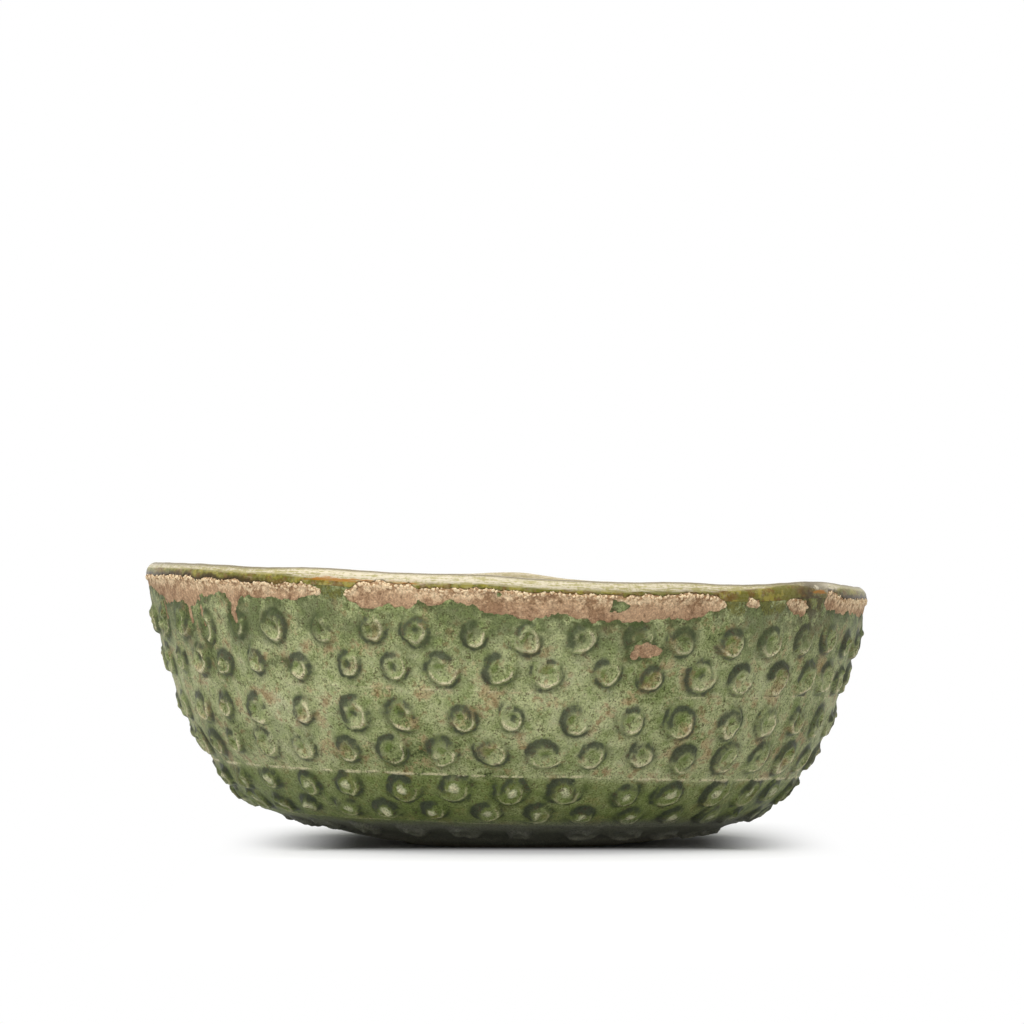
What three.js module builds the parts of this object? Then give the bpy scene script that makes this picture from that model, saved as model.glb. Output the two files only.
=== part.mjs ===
// A wide earthenware bowl, pressed in a mould and glazed.
// The fired clay body stands on a small bare foot and leans a little, as it left the kiln.
// A green glaze coats the outside and carries seven rows of raised curls, between fine register lines.
// A straw-coloured glaze covers the lip, and another lines the inside.
// Under the lip the green glaze has broken away, so a ragged band of bare clay shows.
// Millimetres, +Z up. The origin is on the table, under the centre of the widest ring.
import * as THREE from "three";

// The clay and its coats
const shoulderRadius = 62.7;
const shoulderHeight = 44.4;
const lipRise = 2.6; // top of the glazed lip over the shoulder
const lipThickness = 2.3;
const wallThickness = 4;
const floorThickness = 4.6;
const glazeThickness = 0.5;
const liningThickness = 0.4;
const glazeSeam = 0.3; // least bare clay left between the lip's glaze and the green glaze

// Rings of the outside, from the foot up to the shoulder, and how far each stretch swells past its chord
const footRadius = 19;
const footOffset = 2; // the bowl stands off centre, because it leans
const footLineRadius = 41.3;
const footLineHeight = 5;
const footLineOffset = -1.1; // the underside has slumped a little the other way
const undersideSwell = 0.5;
const ridgeRadius = 51;
const ridgeHeight = 13.3;
const lowerBandSwell = 1.1;
const middleLineRadius = 58;
const middleLineHeight = 27.6;
const lowerWallSwell = 0.9;
const upperWallSwell = 0.25;

// How the body leans and how the rim waves, by hand
const leanAngle = THREE.MathUtils.degToRad(1.75);
const rimWave = 0.45;

// Register lines, drawn round the bowl where one stretch of the outside meets the next
const lineHeight = 0.25;
const lineMargin = 0.5; // from a register line to the nearest row of curls

// The curls: a raised, tapering coil in each cell of a row
const curlHeight = 0.8;
const curlSpacing = 1.6; // between neighbours in a row
const rowSpacing = 0.2; // between a curl and the edges of its row, above and below together
const curlBand = 0.9; // half the width of a coil's ridge
const curlSweep = THREE.MathUtils.degToRad(300);
const curlTaper = 0.22; // share of its radius that a coil loses from one tip to the other
const curlTurn = THREE.MathUtils.degToRad(209); // where a coil's outer tip lies, from the right-hand side up
const curlSteps = 6;
const plainUnderside = 12.5; // from the foot's edge out to the first row
const bareUnderside = 4; // from the foot's edge out to the green glaze

// Bare patches under the lip: where each lies round the bowl, in degrees from the front, and how deep it reaches
const barePatches = [
  { from: -116, to: -31, depth: 3.1 },
  { from: -27, to: 37, depth: 3.3 },
  { from: 42, to: 46, depth: 1.6 },
  { from: 50, to: 58, depth: 2.2 },
  { from: 62, to: 104, depth: 2.7 },
  { from: 121, to: 158, depth: 2.4 },
  { from: 171, to: 226, depth: 3 },
];
const patchRaggedness = 0.35;

const smoothSides = 42;
const edgeSides = 126; // the ragged edge is drawn with more points than the smooth rings
const lipSteps = 4;
const lipGlazeSteps = 5;
const frontAngle = -Math.PI / 2;
const nudge = 1e-4; // step for working out a surface's direction

// A point of the bowl's body, with the lean that lowers the +X side and the wave that grows towards the rim
function bodyPoint(radius, angle, height, offset = 0) {
  const wave = 0.9 * Math.sin(angle) + 0.3 * Math.sin(3 * angle) + 0.25 * Math.sin(5 * angle);
  const x = radius * Math.cos(angle) + offset;
  const share = height / shoulderHeight;
  return new THREE.Vector3(
    x,
    radius * Math.sin(angle),
    height - x * Math.tan(leanAngle) + rimWave * wave * share ** 3,
  );
}

const footRing = (angle) =>
  new THREE.Vector3(footOffset + footRadius * Math.cos(angle), footRadius * Math.sin(angle), 0);
const footLineRing = (angle) => bodyPoint(footLineRadius, angle, footLineHeight, footLineOffset);
const ridgeRing = (angle) => bodyPoint(ridgeRadius, angle, ridgeHeight);
const middleLineRing = (angle) => bodyPoint(middleLineRadius, angle, middleLineHeight);
const shoulderRing = (angle) => bodyPoint(shoulderRadius, angle, shoulderHeight);

// Stretches of the outside, from the foot up. A row's pitch runs from one curl to the next, as near as a whole number
// of curls comes, and its first curl lies that many degrees from the front.
const deepestPatch = Math.max(...barePatches.map(({ depth }) => depth)) + patchRaggedness;
const undersideRows = [{ pitch: 9.4, first: -10.4 }];
const lowerBandRows = [
  { pitch: 8.3, first: -3.4 },
  { pitch: 9.2, first: 1.5 },
];
const lowerWallRows = [
  { pitch: 8.6, first: -2.4 },
  { pitch: 9.6, first: 2 },
];
const upperWallRows = [
  { pitch: 8.8, first: -1.1 },
  { pitch: 9.1, first: 3.7 },
];
const stretches = [
  { low: footRing, high: footLineRing, swell: undersideSwell, rows: undersideRows },
  { low: footLineRing, high: ridgeRing, swell: lowerBandSwell, rows: lowerBandRows },
  { low: ridgeRing, high: middleLineRing, swell: lowerWallSwell, rows: lowerWallRows },
  { low: middleLineRing, high: shoulderRing, swell: upperWallSwell, rows: upperWallRows },
];
const topLevel = stretches.length;

function shareOf(length, { low, high }) {
  return length / low(frontAngle).distanceTo(high(frontAngle));
}

const greenStart = shareOf(bareUnderside, stretches[0]);

// The glazed outside without its curls. The level runs from 0 at the foot to 4 at the shoulder.
function outside(angle, level) {
  const held = Math.min(Math.max(level, 0), topLevel);
  const index = Math.min(Math.floor(held), topLevel - 1);
  const share = held - index;
  const { low, high, swell } = stretches[index];
  const from = low(angle);
  const to = high(angle);
  const round = new THREE.Vector3(-Math.sin(angle), Math.cos(angle), 0);
  const out = round.cross(to.clone().sub(from)).normalize();
  return from.lerp(to, share).addScaledVector(out, 4 * share * (1 - share) * swell);
}

function outward(angle, level) {
  const round = outside(angle + nudge, level).sub(outside(angle - nudge, level));
  const up = outside(angle, level + nudge).sub(outside(angle, level - nudge));
  return round.cross(up).normalize();
}

// The outside moved into the wall
function inWall(angle, level, depth) {
  return outside(angle, level).addScaledVector(outward(angle, level), -depth);
}

// Depth of the clay's inner face: the floor is thick, the wall thinner and the lip thinnest
function innerDepth(level) {
  const thickness =
    level < 2
      ? THREE.MathUtils.lerp(floorThickness, wallThickness, level / 2)
      : THREE.MathUtils.lerp(wallThickness, lipThickness, (level - 2) / (topLevel - 2));
  return glazeThickness + thickness;
}

// The round lip over the shoulder: turn 0 is outside, a half turn is inside, and coat is the glaze on the clay
function lipPoint(angle, turn, coat) {
  const out = inWall(angle, topLevel, glazeThickness);
  const inner = inWall(angle, topLevel, innerDepth(topLevel));
  const middle = out.clone().add(inner).multiplyScalar(0.5);
  const across = out.sub(inner);
  const half = across.length() / 2 + coat;
  const rise = lipRise - liningThickness + coat;
  middle.addScaledVector(across.normalize(), half * Math.cos(turn));
  middle.z += rise * Math.sin(turn);
  return middle;
}

// Height level of the green glaze's broken top edge
function greenEdge(angle) {
  const degrees = THREE.MathUtils.radToDeg(angle - frontAngle);
  let depth = glazeSeam;
  for (const { from, to, depth: deepest } of barePatches) {
    const turned = THREE.MathUtils.euclideanModulo(degrees - (from + to) / 2 + 180, 360) - 180;
    const across = Math.abs(turned) / ((to - from) / 2);
    if (across < 1) {
      const ragged = patchRaggedness * (0.6 * Math.sin(19 * angle) + 0.4 * Math.sin(31 * angle + 1));
      depth = Math.max(depth, (deepest + ragged) * (1 - across ** 4) ** 0.25);
    }
  }
  return topLevel - shareOf(depth, stretches[topLevel - 1]);
}

// A mesh under construction. A ring is a list of points round the bowl, and a pole is a ring of one point.
class Skin {
  constructor() {
    this.points = [];
    this.corners = [];
  }

  add(point) {
    return this.points.push(point) - 1;
  }

  face(a, b, c) {
    this.corners.push(a, b, c);
  }

  ring(sides, pointAt, start = 0) {
    const step = (2 * Math.PI) / sides;
    return Array.from({ length: sides }, (_, i) => this.add(pointAt((start + i) * step)));
  }

  pole(point) {
    return [this.add(point)];
  }

  // Joins two rings with triangles, always across the shorter diagonal. The outside is on the right of the way from
  // the first ring to the second.
  join(first, second) {
    const gap = (a, b) => this.points[a].distanceToSquared(this.points[b]);
    const firstSteps = first.length > 1 ? first.length : 0;
    const secondSteps = second.length > 1 ? second.length : 0;
    const offset = firstSteps && secondSteps ? this.nearest(first[0], second) : 0;
    const a = (i) => first[i % first.length];
    const b = (j) => second[(j + offset) % second.length];
    let i = 0;
    let j = 0;
    while (i < firstSteps || j < secondSteps) {
      const alongFirst =
        j >= secondSteps || (i < firstSteps && gap(a(i + 1), b(j)) <= gap(a(i), b(j + 1)));
      if (alongFirst) {
        this.face(a(i), a(i + 1), b(j));
        i += 1;
      } else {
        this.face(a(i), b(j + 1), b(j));
        j += 1;
      }
    }
  }

  nearest(point, ring) {
    const from = this.points[point];
    const gaps = ring.map((other) => from.distanceToSquared(this.points[other]));
    return gaps.indexOf(Math.min(...gaps));
  }

  joinAll(rings) {
    for (let i = 1; i < rings.length; i += 1) this.join(rings[i - 1], rings[i]);
  }

  geometry() {
    const made = new THREE.BufferGeometry().setFromPoints(this.points);
    made.setIndex(this.corners);
    made.computeVertexNormals();
    return made;
  }
}

// Levels of the smooth rings, outside and inside
const outerLevels = [greenStart, 0.6, 1, 1.5, 2, 2.5, 3];
const innerLevels = [3.2, 2.4, 1.7, 1.2, 0.7, 0];

const clayRing = (skin, level) =>
  skin.ring(smoothSides, (angle) => inWall(angle, level, glazeThickness));
const clayEdge = (skin) =>
  skin.ring(edgeSides, (angle) => inWall(angle, greenEdge(angle), glazeThickness));
const innerRing = (skin, level, coat) =>
  skin.ring(smoothSides, (angle) => inWall(angle, level, innerDepth(level) + coat));
const lipRing = (skin, turn, coat) =>
  skin.ring(smoothSides, (angle) => lipPoint(angle, turn, coat));
const floorPole = (skin, coat) =>
  skin.pole(new THREE.Vector3(footOffset, 0, innerDepth(0) + coat));

const lipTurns = (steps) => Array.from({ length: steps + 1 }, (_, i) => (Math.PI * i) / steps);

// The fired clay: foot, wall, lip and floor in one piece
function clayBody() {
  const skin = new Skin();
  skin.joinAll([
    skin.pole(new THREE.Vector3(footOffset, 0, 0)),
    skin.ring(smoothSides, footRing),
    ...outerLevels.map((level) => clayRing(skin, level)),
    clayEdge(skin),
    ...lipTurns(lipSteps).map((turn) => lipRing(skin, turn, 0)),
    ...innerLevels.map((level) => innerRing(skin, level, 0)),
    floorPole(skin, 0),
  ]);
  return skin.geometry();
}

// One coil on the wall, in a cell of its own. Its footprint is cut out of the cell, and a ridge stands on it.
function curlCell(skin, { corners, centre, width, height, turn, place }) {
  const half = new THREE.Vector2((width - curlSpacing) / 2, (height - rowSpacing) / 2);
  const along = (step) => (step * curlSweep) / curlSteps + turn;
  const spot = (step, offset) => {
    const radius = 1 - (curlTaper * step) / curlSteps - curlBand / half.x + offset / half.x;
    return new THREE.Vector2(
      half.x * radius * Math.cos(along(step)),
      half.y * radius * Math.sin(along(step)),
    );
  };
  const inner = [];
  const outer = [];
  const crest = [];
  for (let step = 1; step < curlSteps; step += 1) {
    outer.push(spot(step, curlBand));
    crest.push(spot(step, 0));
    inner.push(spot(step, -curlBand));
  }
  const footprint = [spot(0, 0), ...outer, spot(curlSteps, 0), ...inner.reverse()];
  const cell = [
    new THREE.Vector2(-width / 2, -height / 2),
    new THREE.Vector2(width / 2, -height / 2),
    new THREE.Vector2(width / 2, height / 2),
    new THREE.Vector2(-width / 2, height / 2),
  ];
  const flat = [...cell, ...footprint];
  const ids = [...corners, ...footprint.map((p) => skin.add(place(centre, p, 0)))];
  for (const [a, b, c] of THREE.ShapeUtils.triangulateShape(cell, [footprint])) {
    const turning = THREE.ShapeUtils.area([flat[a], flat[b], flat[c]]);
    if (turning > 0) skin.face(ids[a], ids[b], ids[c]);
    else skin.face(ids[a], ids[c], ids[b]);
  }

  const foot = ids.slice(cell.length);
  const last = curlSteps - 1;
  const outerFoot = (step) => foot[step];
  const innerFoot = (step) => foot[(2 * curlSteps - step) % foot.length];
  const ridge = crest.map((p) => skin.add(place(centre, p, curlHeight)));
  skin.face(foot[0], outerFoot(1), ridge[0]);
  skin.face(foot[0], ridge[0], innerFoot(1));
  for (let step = 1; step < last; step += 1) {
    const here = ridge[step - 1];
    const next = ridge[step];
    skin.face(outerFoot(step), outerFoot(step + 1), next);
    skin.face(outerFoot(step), next, here);
    skin.face(here, next, innerFoot(step + 1));
    skin.face(here, innerFoot(step + 1), innerFoot(step));
  }
  skin.face(outerFoot(last), foot[curlSteps], ridge[last - 1]);
  skin.face(ridge[last - 1], foot[curlSteps], innerFoot(last));
}

// One row of curls between two levels. Gives back its lower and upper rings.
function curlRow(skin, { low, high, count, start }) {
  const lower = skin.ring(count, (angle) => outside(angle, low), start);
  const upper = skin.ring(count, (angle) => outside(angle, high), start);
  const step = (2 * Math.PI) / count;
  for (let i = 0; i < count; i += 1) {
    const next = (i + 1) % count;
    const angle = (start + i + 0.5) * step;
    const middle = (low + high) / 2;
    const height = outside(angle, high).distanceTo(outside(angle, low));
    const width = outside(angle + step / 2, middle).distanceTo(outside(angle - step / 2, middle));
    const place = (centre, { x, y }, rise) => {
      const round = centre + (x / width) * step;
      const level = middle + (y / height) * (high - low);
      return inWall(round, level, -rise);
    };
    const corners = [lower[i], lower[next], upper[next], upper[i]];
    curlCell(skin, { corners, centre: angle, width, height, turn: curlTurn, place });
  }
  return [lower, upper];
}

// All the rows from the foot up, each with as many curls as fit
function curlRows() {
  const made = [];
  stretches.forEach((stretch, index) => {
    const below = index === 0 ? plainUnderside : lineMargin;
    const above = index === topLevel - 1 ? deepestPatch + lineMargin : lineMargin;
    const from = index + shareOf(below, stretch);
    const span = 1 - shareOf(below + above, stretch);
    stretch.rows.forEach(({ pitch, first }, row) => {
      const low = from + (span * row) / stretch.rows.length;
      const high = low + span / stretch.rows.length;
      const radius = Math.abs(outside(frontAngle, (low + high) / 2).y);
      const count = Math.round((2 * Math.PI * radius) / pitch);
      const firstAngle = frontAngle + THREE.MathUtils.degToRad(first);
      const start = (firstAngle * count) / (2 * Math.PI) - 0.5;
      made.push({ low, high, count, start });
    });
  });
  return made;
}

// The green glaze: plain inside against the clay, with the curls and the register lines outside
function greenGlaze() {
  const skin = new Skin();
  const footEdge = skin.ring(smoothSides, (angle) => outside(angle, greenStart));
  let below = footEdge;
  let line = 1;
  for (const row of curlRows()) {
    if (row.low > line) {
      const level = line;
      const ridge = skin.ring(row.count, (angle) => inWall(angle, level, -lineHeight), row.start);
      skin.join(below, ridge);
      below = ridge;
      line += 1;
    }
    const [lower, upper] = curlRow(skin, row);
    skin.join(below, lower);
    below = upper;
  }
  const topEdge = skin.ring(edgeSides, (angle) => outside(angle, greenEdge(angle)));
  const back = [...outerLevels].reverse().map((level) => clayRing(skin, level));
  skin.joinAll([below, topEdge, clayEdge(skin), ...back, footEdge]);
  return skin.geometry();
}

// The straw glaze over the lip, from the shoulder outside to the same height inside
function lipGlaze() {
  const skin = new Skin();
  const glazed = lipTurns(lipGlazeSteps).map((turn) => lipRing(skin, turn, liningThickness));
  const against = lipTurns(lipSteps)
    .reverse()
    .map((turn) => lipRing(skin, turn, 0));
  skin.joinAll([...glazed, ...against, glazed[0]]);
  return skin.geometry();
}

// The lining of the inside, from the lip's glaze down over the floor
function innerGlaze() {
  const skin = new Skin();
  const levels = [...innerLevels].reverse();
  skin.joinAll([
    floorPole(skin, 0),
    ...levels.map((level) => innerRing(skin, level, 0)),
    lipRing(skin, Math.PI, 0),
    lipRing(skin, Math.PI, liningThickness),
    ...innerLevels.map((level) => innerRing(skin, level, liningThickness)),
    floorPole(skin, liningThickness),
  ]);
  return skin.geometry();
}

const clay = new THREE.MeshStandardMaterial({ color: 0xb98d6c, roughness: 0.9 });
const green = new THREE.MeshStandardMaterial({ color: 0x6f8350, roughness: 0.35 });
const straw = new THREE.MeshStandardMaterial({ color: 0xcdbd86, roughness: 0.2 });
const lining = new THREE.MeshStandardMaterial({ color: 0xa89558, roughness: 0.25 });

function named(name, geometry, material) {
  const mesh = new THREE.Mesh(geometry, material);
  mesh.name = name;
  return mesh;
}

const bowl = new THREE.Group();
bowl.add(
  named("clay_body", clayBody(), clay),
  named("green_glaze_coat", greenGlaze(), green),
  named("lip_glaze", lipGlaze(), straw),
  named("inner_glaze", innerGlaze(), lining),
);

export default bowl;
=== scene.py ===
import math
import bmesh
import bpy
import numpy as np
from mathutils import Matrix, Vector


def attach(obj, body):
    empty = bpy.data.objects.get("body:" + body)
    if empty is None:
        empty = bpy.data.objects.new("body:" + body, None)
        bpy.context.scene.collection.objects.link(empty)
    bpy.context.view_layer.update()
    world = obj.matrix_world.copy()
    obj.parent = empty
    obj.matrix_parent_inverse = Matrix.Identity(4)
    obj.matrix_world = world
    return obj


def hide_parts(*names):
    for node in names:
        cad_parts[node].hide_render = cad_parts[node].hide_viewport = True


# A glazed earthenware bowl on a white floor. Shapes are worked out in millimetres and stored in metres.
mm = 0.001
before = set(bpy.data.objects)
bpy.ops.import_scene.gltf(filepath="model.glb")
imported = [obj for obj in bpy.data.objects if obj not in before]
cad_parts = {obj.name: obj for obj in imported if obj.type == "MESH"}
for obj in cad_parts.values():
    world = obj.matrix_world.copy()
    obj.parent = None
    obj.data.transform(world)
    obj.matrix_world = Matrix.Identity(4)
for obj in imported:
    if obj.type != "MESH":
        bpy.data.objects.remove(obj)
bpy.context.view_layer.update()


# node helpers, used for materials and for Geometry Nodes alike

class Wire:
    # one output socket; arithmetic on it adds Math nodes
    def __init__(self, builder, socket):
        self.builder = builder
        self.socket = socket

    def math(self, operation, *others):
        return self.builder.add("ShaderNodeMath", {"operation": operation}, [self, *others])

    def __add__(self, other): return self.math("ADD", other)
    def __sub__(self, other): return self.math("SUBTRACT", other)
    def __mul__(self, other): return self.math("MULTIPLY", other)
    def __truediv__(self, other): return self.math("DIVIDE", other)
    def __neg__(self): return self.math("MULTIPLY", -1.0)
    def __radd__(self, other): return self.math("ADD", other)
    def __rmul__(self, other): return self.math("MULTIPLY", other)
    def __rsub__(self, other):
        return self.builder.add("ShaderNodeMath", {"operation": "SUBTRACT"}, [other, self])


class Builder:
    # adds nodes to one tree
    def __init__(self, tree):
        self.tree = tree

    def add(self, kind, settings=None, inputs=None, output=0):
        node = self.tree.nodes.new(kind)
        for name, value in (settings or {}).items():
            setattr(node, name, value)
        if isinstance(inputs, (list, tuple)):
            inputs = dict(enumerate(inputs))
        for key, value in (inputs or {}).items():
            if isinstance(value, Wire):
                self.tree.links.new(value.socket, node.inputs[key])
            else:
                node.inputs[key].default_value = value
        return Wire(self, node.outputs[output]) if len(node.outputs) else node

    def smooth(self, value, low, high):  # 0 at low, 1 at high
        return self.add("ShaderNodeMapRange", {"interpolation_type": "SMOOTHSTEP"}, [value, low, high])

    def bell(self, value, width):  # 1 where value is 0, fading over width
        scaled = value / width
        return (-(scaled * scaled)).math("EXPONENT")

    def noise(self, place, scale, detail=2.0, roughness=0.5, output=0):
        return self.add("ShaderNodeTexNoise", {"noise_dimensions": "3D"},
                        {"Vector": place, "Scale": scale, "Detail": detail, "Roughness": roughness}, output)

    def noises(self, place, settings):  # one noise for each scale, detail and roughness
        return [self.noise(place, *values) for values in settings]

    def mix(self, factor, first, second, blend="MIX"):  # colours
        return self.add("ShaderNodeMix", {"data_type": "RGBA", "blend_type": blend},
                        {0: factor, 6: first, 7: second}, 2)

    def read(self, name):  # a piece's stored attribute, in a material
        return self.add("ShaderNodeAttribute", {"attribute_name": name}, None, 2)

    def axis(self, vector, number):
        return self.add("ShaderNodeSeparateXYZ", None, [vector], number)

    def vector(self, x, y, z=0.0):
        return self.add("ShaderNodeCombineXYZ", None, [x, y, z])

    def scaled(self, vector, amount):
        return self.add("ShaderNodeVectorMath", {"operation": "SCALE"}, {0: vector, "Scale": amount})

    def grey(self, level):
        return self.add("ShaderNodeCombineColor", None, [level, level, level])

    def bump(self, strength, height, distance=0.0002):
        return self.add("ShaderNodeBump", None, {"Strength": strength, "Distance": distance, "Height": height})


# camera, floor and light

view = {"distance": 1.1, "height": 0.0495, "frameWidth": 0.1782, "sensor": 36.0,
        "imageSize": 1024, "centreColumn": 506.5, "floorRow": 842.5}


def makeCamera():
    data = bpy.data.cameras.new("camera")
    data.sensor_width = view["sensor"]
    data.lens = view["sensor"] * view["distance"] / view["frameWidth"]
    data.clip_end = 20
    camera = bpy.data.objects.new("camera", data)
    bpy.context.scene.collection.objects.link(camera)
    pixel = view["frameWidth"] / view["imageSize"]
    half = view["imageSize"] / 2
    sideways = (half - view["centreColumn"]) * pixel
    # the floor under the bowl's middle shows at floorRow, so the camera looks this much above it
    down = math.atan(view["height"] / view["distance"])
    rowAngle = math.atan((view["floorRow"] - half) * pixel / view["distance"])
    pitch = rowAngle - down
    camera.location = (sideways, -view["distance"], view["height"])
    camera.rotation_euler = (math.pi / 2 + pitch, 0, 0)
    bpy.context.scene.camera = camera


floorLook = {
    "radius": 3.0, "seen": 0.8, "bounce": 0.62, "fadeStart": 0.13, "fadeEnd": 0.34, "sideMiddle": 0.004,
    "sideStart": 0.029, "sideEnd": 0.055, "frontStart": 0.018, "frontEnd": 0.036, "frontShare": 0.46,
}


def lightPath(b):  # 1 for camera rays, and 1 for those and the rays that mirrors and glass show
    path = b.add("ShaderNodeLightPath").socket.node
    seen, glossy, through = (Wire(b, path.outputs[name]) for name in
                             ("Is Camera Ray", "Is Glossy Ray", "Is Transmission Ray"))
    return seen, seen.math("MAXIMUM", glossy).math("MAXIMUM", through)


def makeFloor():
    look = floorLook
    radius = look["radius"]
    mesh = bpy.data.meshes.new("floor")
    mesh.from_pydata([(-radius, -radius, 0), (radius, -radius, 0), (radius, radius, 0), (-radius, radius, 0)],
                     [], [(0, 1, 2, 3)])
    floor = bpy.data.objects.new("floor", mesh)
    bpy.context.scene.collection.objects.link(floor)
    material, b = newMaterial("whiteFloor")
    seen, white = lightPath(b)
    matte = b.add("ShaderNodeBsdfDiffuse", None, {"Color": b.grey(look["bounce"] + white *
                                                                  (look["seen"] - look["bounce"]))})
    glow = b.add("ShaderNodeEmission", None, {"Color": (1, 1, 1, 1), "Strength": 1.0})
    place = b.add("ShaderNodeNewGeometry")
    flat = b.add("ShaderNodeVectorMath", {"operation": "LENGTH"}, [place], 1)
    far = b.smooth(flat, look["fadeStart"], look["fadeEnd"])
    # painted light: the floor turns to white glow from a few centimetres out at the sides, and partly in front,
    # so its shadow is narrow at the sides and light in front
    fromMiddle = (b.axis(place, 0) - look["sideMiddle"]).math("ABSOLUTE")
    side = b.smooth(fromMiddle, look["sideStart"], look["sideEnd"])
    front = b.smooth(-b.axis(place, 1), look["frontStart"], look["frontEnd"]) * look["frontShare"]
    glowShare = (far.math("MAXIMUM", side) * white).math("MAXIMUM", front * seen)
    shader = b.add("ShaderNodeMixShader", None, [glowShare, matte, glow])
    b.add("ShaderNodeOutputMaterial", None, [shader])
    mesh.materials.append(material)


lamps = {
    "key": {"place": (-0.34, -0.78, 1.05), "size": 0.8, "power": 12.0},
    "fill": {"place": (0.9, -1.0, 0.4), "size": 0.9, "power": 0.6},
    "top": {"place": (-0.05, 0.1, 1.1), "size": 1.3, "power": 13.5},
}
lampAim = (0, 0, 0.025)
worldLight = 0.3


def makeLight():
    for name, lamp in lamps.items():
        data = bpy.data.lights.new(name, "AREA")
        data.shape = "SQUARE"
        data.size = lamp["size"]
        data.energy = lamp["power"]
        light = bpy.data.objects.new(name, data)
        light.location = lamp["place"]
        aim = Vector(lampAim) - Vector(lamp["place"])
        light.rotation_euler = aim.to_track_quat("-Z", "Y").to_euler()
        bpy.context.scene.collection.objects.link(light)
    world = bpy.data.worlds.new("studio")
    bpy.context.scene.world = world
    world.use_nodes = True
    world.node_tree.nodes.clear()
    b = Builder(world.node_tree)
    white = lightPath(b)[1]
    strength = worldLight + white * (1 - worldLight)
    back = b.add("ShaderNodeBackground", None, {"Color": (1, 1, 1, 1), "Strength": strength})
    b.add("ShaderNodeOutputWorld", None, [back])


# the bowl's shape

bowl = {
    "shoulderRadius": 62.6, "shoulderHeight": 44.4, "lipRise": 2.45, "lipThickness": 2.2,
    "wallThickness": 4.0, "floorThickness": 4.6, "glazeThickness": 0.5, "clayDepth": 0.22,
    "liningThickness": 0.4, "leanAngle": math.radians(1.75), "seam": 0.03, "bareFoot": 4.0,
    "rimSoftness": 2.6, "waveFade": 3, "lipSquareness": 0.8,
}
# rings from the foot up: radius, height and sideways offset; the first lies flat on the table
rings = [(19.0, 0.0, 2.0), (41.3, 5.0, -1.1), (50.9, 13.3, -0.1), (57.8, 27.6, -0.2),
         (bowl["shoulderRadius"], bowl["shoulderHeight"], 0.0)]
swells = [0.5, 1.1, 0.9, 0.25]  # how far each stretch between two rings bulges
# the rim's rise over its own plane, in degrees from the front towards +X, and millimetres
rimWave = [(-90, -0.35), (-70, -0.28), (-60, -0.25), (-48, -0.34), (-44, -0.57), (-31, -0.2), (-26, -0.41),
           (-21, -0.6), (-14, -0.7), (-7, -0.58), (-3, -0.5), (0, -0.75), (2.5, -0.98), (6, -1.0), (9, -1.0),
           (11.5, -1.05), (16.5, -1.2), (23, -0.96), (30, -0.74), (35, -1.02), (42, -0.98), (46.5, -0.65),
           (56, -0.02), (63, -0.1), (70, -0.55), (80, -0.85), (90, -0.9), (110, -1.0), (135, -1.35),
           (150, -1.6), (163, -1.5), (168, -1.4), (170.4, -1.25), (173, -0.8), (177, -0.1), (181, -0.33),
           (184.5, -0.6), (188, -0.95), (195, -1.1), (206, -1.0), (215, -0.9), (235, -0.8), (250, -0.5),
           (270, -0.35)]
frontAngle = -math.pi / 2


def fromFront(angle):  # degrees from the front, -90 to 270
    return (np.degrees(angle) + 90 + 90) % 360 - 90


def turnRound(columns):
    return frontAngle + np.arange(columns) * 2 * math.pi / columns


def roundCurve(points, degrees, softness):  # a curve round the rim, softened over some degrees
    places, values = zip(*points)
    fine = np.arange(-90, 270, 0.25)
    waves = np.fft.rfft(np.interp(fine, places, values))
    turns = np.arange(len(waves))
    curve = np.fft.irfft(waves * np.exp(-(turns * math.radians(softness)) ** 2 / 2), len(fine))
    return np.interp(degrees, fine, curve, period=360)


def ringPoint(number, angle):
    radius, height, offset = rings[number]
    x = radius * np.cos(angle) + offset
    y = radius * np.sin(angle)
    if number == 0:
        return np.stack([x, y, 0 * x], -1)
    wave = roundCurve(rimWave, fromFront(angle), bowl["rimSoftness"])
    wave *= (height / bowl["shoulderHeight"]) ** bowl["waveFade"]  # full at the shoulder, none at the foot
    return np.stack([x, y, height - x * math.tan(bowl["leanAngle"]) + wave], -1)


def outside(angle, level):  # the smooth outside; level 0 at the foot, 4 at the shoulder
    held = np.clip(level, 0, len(swells))
    number = int(min(math.floor(held), len(swells) - 1))
    share = held - number
    low = ringPoint(number, angle)
    high = ringPoint(number + 1, angle)
    way = high - low
    around = np.stack([-np.sin(angle), np.cos(angle), 0 * angle], -1)
    out = np.cross(around, way)
    out /= np.linalg.norm(out, axis=-1, keepdims=True)
    return low + way * share + out * (4 * share * (1 - share) * swells[number])


def outward(angle, level, nudge=1e-3):
    around = outside(angle + nudge, level) - outside(angle - nudge, level)
    up = outside(angle, level + nudge) - outside(angle, level - nudge)
    out = np.cross(around, up)
    return out / np.linalg.norm(out, axis=-1, keepdims=True)


def inWall(angle, level, depth):
    return outside(angle, level) - outward(angle, level) * depth


def stretchLength(number):
    front = np.array([frontAngle])
    return float(np.linalg.norm(ringPoint(number + 1, front) - ringPoint(number, front)))


def innerDepth(level):
    if level < 2:
        return bowl["floorThickness"] + (bowl["wallThickness"] - bowl["floorThickness"]) * level / 2
    return bowl["wallThickness"] + (bowl["lipThickness"] - bowl["wallThickness"]) * (level - 2) / 2


def riseTurns(outer, inner):  # turns round the lip: even steps of height outside, even turns inside
    heights = np.linspace(0, 0.985, outer)
    turns = list(np.arcsin(heights ** (1 / bowl["lipSquareness"])))
    return turns + list(np.linspace(turns[-1], math.pi, inner + 1)[1:])


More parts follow.
